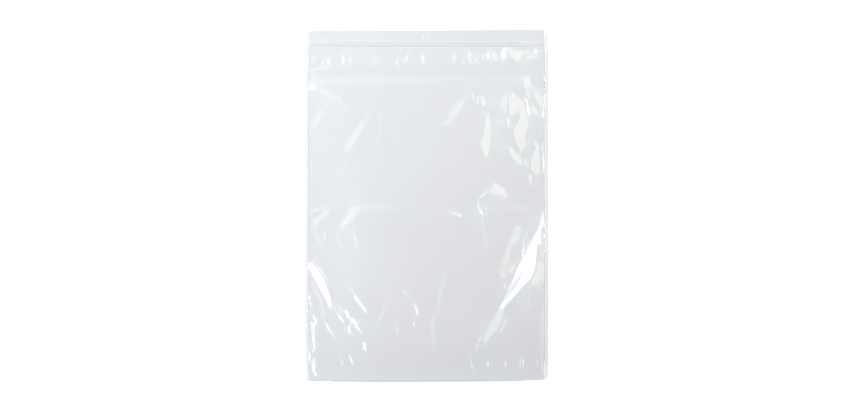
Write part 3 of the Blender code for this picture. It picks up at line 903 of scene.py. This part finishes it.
def makeClearFilm():
    material = bpy.data.materials.new("clearFilm")
    material.use_nodes = True
    tree = material.node_tree
    shader = tree.nodes["Principled BSDF"]
    shader.inputs["IOR"].default_value = clearFilm["ior"]
    shader.inputs["Transmission Weight"].default_value = 1.0
    place = tree.nodes.new("ShaderNodeTexCoord").outputs["Object"]
    axes = tree.nodes.new("ShaderNodeSeparateXYZ")
    tree.links.new(place, axes.inputs[0])
    fromMiddle = operate(tree, "ABSOLUTE", axes.outputs["X"])

    haze = grain(tree, place, [clearFilm["hazeSize"]] * 3, 3.0)
    hazy = rampBetween(tree, haze, 0.35, 0.68, clearFilm["smoothest"], clearFilm["haziest"])
    tree.links.new(hazy, shader.inputs["Roughness"])

    # Painted shade: the weld line is darkened in dashes, and the bottom fold along its edge, in place of the dark that
    # their bends give
    offLine = operate(tree, "ABSOLUTE", operate(tree, "SUBTRACT", fromMiddle, weldX))
    dashes = grain(tree, place, [1.0, clearFilm["weldDash"], 1.0], 1.0)
    onLine = rampBetween(tree, offLine, clearFilm["weldLineHalf"], 0.4 * clearFilm["weldLineHalf"])
    weldLineShade = operate(tree, "MULTIPLY", onLine, rampBetween(tree, dashes, 0.40, 0.56, 0.25, 1.0))
    onFold = rampBetween(tree, axes.outputs["Y"], foldY + clearFilm["foldLine"], foldY, 0.0, 0.7)
    filmAndShadeColour = tinted(tree, operate(tree, "MAXIMUM", weldLineShade, onFold), clearFilm["colour"], clearFilm["paintedShadeColour"])
    # Painted highlight: the film is painted lighter on the two pressed dots, in place of the glint of their dimples
    dotsX, dotsY = toMetres(*clearFilm["dotsMiddle"])
    away = operate(tree, "ABSOLUTE", operate(tree, "SUBTRACT", axes.outputs["X"], dotsX))
    away = operate(tree, "SUBTRACT", away, clearFilm["dotsApart"] / 2 * metresPerPixel)
    down = operate(tree, "SUBTRACT", axes.outputs["Y"], dotsY)
    far = operate(tree, "SQRT", operate(tree, "ADD", operate(tree, "POWER", away, 2.0), operate(tree, "POWER", down, 2.0)))
    onDotHighlight = rampBetween(tree, far, clearFilm["dotSize"], 0.4 * clearFilm["dotSize"], 0.0, clearFilm["dotHighlight"])
    tree.links.new(tinted(tree, onDotHighlight, filmAndShadeColour, (1.0, 1.0, 1.0, 1.0)), shader.inputs["Base Color"])

    crumpled = tree.nodes.new("ShaderNodeAttribute")
    crumpled.attribute_name = "crumpled"
    wrinkle = grain(tree, place, [clearFilm["crumpleSize"]] * 3, 1.5)
    lines = grain(tree, place, [clearFilm["lineAcross"], clearFilm["lineAlong"], 1.0], 1.0)
    onLip = rampBetween(tree, axes.outputs["Y"], zipFootY, zipY, clearFilm["lineElsewhere"], 1.0)
    wrinkleHeight = operate(tree, "MULTIPLY", operate(tree, "MULTIPLY", wrinkle, crumpled.outputs["Fac"]),
                            clearFilm["crumpleRise"])
    lineHeight = operate(tree, "MULTIPLY", operate(tree, "MULTIPLY", lines, onLip), clearFilm["lineRise"])
    strokes = grain(tree, place, [clearFilm["strokeAcross"], clearFilm["strokeAlong"], 1.0], 1.0, clearFilm["strokeTurn"])
    nearFoot = rampBetween(tree, axes.outputs["Y"], -0.085, -0.135, 0.0, clearFilm["strokeRise"])
    lineHeight = operate(tree, "MULTIPLY_ADD", strokes, nearFoot, lineHeight)
    bump = tree.nodes.new("ShaderNodeBump")
    bump.inputs["Distance"].default_value = 1.0
    tree.links.new(operate(tree, "ADD", wrinkleHeight, lineHeight), bump.inputs["Height"])
    tree.links.new(bump.outputs["Normal"], shader.inputs["Normal"])
    return material


bag.data.materials.clear()
bag.data.materials.append(makeClearFilm())
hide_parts("zip_bag")
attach(bag, "root")

# The studio
studio = {
    "floorSize": 8.0,
    "floorDrop": 0.2 * mm,
    "floorColour": (0.80, 0.80, 0.80, 1.0),
    "floorGlow": 0.30,             # what the camera sees besides the lamps' light
    # painted light and shade under the film: the floor's glow behind it is darker to the right, towards the bottom fold
    # and under the lips, and lighter towards the mouth
    "throughFilm": 0.930,          # how bright the floor is behind the film
    "throughFilmAcross": -0.40,    # its change per metre to the right
    "throughFilmAlong": 0.42,      # its change per metre towards the mouth
    "throughFilmFoot": -0.035,     # its change towards the bottom fold
    "throughLips": -0.022,         # its change under the lips
    "tentBase": 0.22,
    "tentColour": (0.86, 0.96, 1.08, 1.0),
    "tentTop": (0.30, 0.70),       # the ramps below light its upper part only
    "tentRamps": [                 # from where to where each side of the tent brightens, how much, colour
        ("X", -1, -0.02, 0.25, 0.9, (0.84, 1.0, 1.08, 1.0)),
        ("X", -1, 0.12, 0.24, 0.8, (0.95, 1.0, 1.02, 1.0)),
        ("Y", 1, -0.04, 0.30, 0.7, (0.84, 1.0, 1.08, 1.0)),
        ("Y", 1, 0.22, 0.36, 1.0, (0.97, 1.0, 1.0, 1.0)),
        ("X", 1, 0.13, 0.23, 0.48, (0.97, 1.0, 0.78, 1.0)),
        ("Z", -1, -0.70, -0.30, 0.28, (0.97, 1.0, 1.02, 1.0)),
    ],
    "softboxSize": (0.95, 2.4),
    "softboxHeight": 2.2,
    "softboxFrom": 14.5,           # degrees off straight overhead where they start
    "whiteRadiance": 6.0,
    "whiteColour": (0.97, 0.99, 1.0),
    "creamRadiance": 1.2,
    "creamColour": (0.97, 1.0, 0.60),
    "lens": 90.0,
}


def makeFloor():
    bpy.ops.object.select_all(action="DESELECT")
    bpy.ops.mesh.primitive_plane_add(size=studio["floorSize"], location=(0, 0, -studio["floorDrop"]))
    bpy.ops.object.transform_apply(location=True)
    floor = bpy.context.object
    floor.name = "studioFloor"
    material = bpy.data.materials.new("paleFloor")
    material.use_nodes = True
    tree = material.node_tree
    tree.nodes.clear()
    place = tree.nodes.new("ShaderNodeTexCoord")
    axes = tree.nodes.new("ShaderNodeSeparateXYZ")
    tree.links.new(place.outputs["Object"], axes.inputs[0])
    path = tree.nodes.new("ShaderNodeLightPath")
    # Painted shade in the glow behind the film: darker to the right, towards the bottom fold and under the lips,
    # lighter towards the mouth
    across = operate(tree, "MULTIPLY", axes.outputs["X"], studio["throughFilmAcross"])
    along = operate(tree, "MULTIPLY", axes.outputs["Y"], studio["throughFilmAlong"])
    foot = rampBetween(tree, axes.outputs["Y"], -0.100, -0.165, 0.0, studio["throughFilmFoot"])
    lips = rampBetween(tree, axes.outputs["Y"], zipFootY - 0.001, zipFootY + 0.003, 0.0, studio["throughLips"])
    level = operate(tree, "ADD", operate(tree, "ADD", foot, lips), studio["throughFilm"])
    through = operate(tree, "ADD", operate(tree, "ADD", across, along), level)
    paper = tree.nodes.new("ShaderNodeBsdfDiffuse")
    paper.inputs["Color"].default_value = studio["floorColour"]
    glow = tree.nodes.new("ShaderNodeEmission")
    tree.links.new(operate(tree, "MULTIPLY", path.outputs["Is Camera Ray"], studio["floorGlow"]), glow.inputs["Strength"])
    lit = tree.nodes.new("ShaderNodeAddShader")
    tree.links.new(paper.outputs[0], lit.inputs[0])
    tree.links.new(glow.outputs[0], lit.inputs[1])
    behind = tree.nodes.new("ShaderNodeEmission")
    tree.links.new(through, behind.inputs["Strength"])
    mix = tree.nodes.new("ShaderNodeMixShader")
    seen = operate(tree, "MAXIMUM", path.outputs["Is Transmission Ray"], path.outputs["Is Glossy Ray"])
    tree.links.new(seen, mix.inputs[0])
    tree.links.new(lit.outputs[0], mix.inputs[1])
    tree.links.new(behind.outputs[0], mix.inputs[2])
    out = tree.nodes.new("ShaderNodeOutputMaterial")
    tree.links.new(mix.outputs[0], out.inputs["Surface"])
    floor.data.materials.append(material)


def makeTent():                    # a pale studio: white to the camera, with a dark middle overhead
    world = bpy.data.worlds.new("studioTent")
    bpy.context.scene.world = world
    world.use_nodes = True
    tree = world.node_tree
    tree.nodes.clear()
    place = tree.nodes.new("ShaderNodeTexCoord")
    axes = tree.nodes.new("ShaderNodeSeparateXYZ")
    tree.links.new(place.outputs["Generated"], axes.inputs[0])
    path = tree.nodes.new("ShaderNodeLightPath")
    background = tree.nodes.new("ShaderNodeBackground")
    background.inputs["Color"].default_value = studio["tentColour"]
    seen = operate(tree, "MAXIMUM", path.outputs["Is Camera Ray"], studio["tentBase"])
    tree.links.new(seen, background.inputs["Strength"])
    lit = background.outputs[0]
    overhead = rampBetween(tree, axes.outputs["Z"], *studio["tentTop"])
    for axis, side, start, end, level, colour in studio["tentRamps"]:
        glow = tree.nodes.new("ShaderNodeBackground")
        glow.inputs["Color"].default_value = colour
        toSide = operate(tree, "MULTIPLY", axes.outputs[axis], side)
        bright = rampBetween(tree, toSide, start, end, 0.0, level)
        if axis != "Z":
            bright = operate(tree, "MULTIPLY", bright, overhead)
        tree.links.new(bright, glow.inputs["Strength"])
        both = tree.nodes.new("ShaderNodeAddShader")
        tree.links.new(lit, both.inputs[0])
        tree.links.new(glow.outputs[0], both.inputs[1])
        lit = both.outputs[0]
    out = tree.nodes.new("ShaderNodeOutputWorld")
    tree.links.new(lit, out.inputs["Surface"])


def makeSoftbox(name, side):
    wide, long = studio["softboxSize"]
    height = studio["softboxHeight"]
    kind = "white" if side < 0 else "cream"
    away = height * math.tan(math.radians(studio["softboxFrom"])) + wide / 2
    bpy.ops.object.light_add(type="AREA", location=(side * away, 0, height))
    box = bpy.context.object
    box.name = name
    box.data.shape = "RECTANGLE"
    box.data.size = wide
    box.data.size_y = long
    box.data.color = studio[kind + "Colour"]
    box.data.energy = studio[kind + "Radiance"] * math.pi * wide * long
    box.visible_camera = False


def makeCamera():
    data = bpy.data.cameras.new("topCamera")
    camera = bpy.data.objects.new("topCamera", data)
    bpy.context.scene.collection.objects.link(camera)
    data.lens = studio["lens"]
    away = photo["width"] * metresPerPixel * data.lens / data.sensor_width
    x, y = toMetres(photo["width"] / 2, photo["height"] / 2)
    camera.location = (x, y, away)
    bpy.context.scene.camera = camera


makeFloor()
makeTent()
makeSoftbox("leftSoftbox", -1)
makeSoftbox("rightSoftbox", 1)
makeCamera()
bpy.context.scene.view_settings.view_transform = "Standard"
print("studio: floor, tent, softboxes and camera")
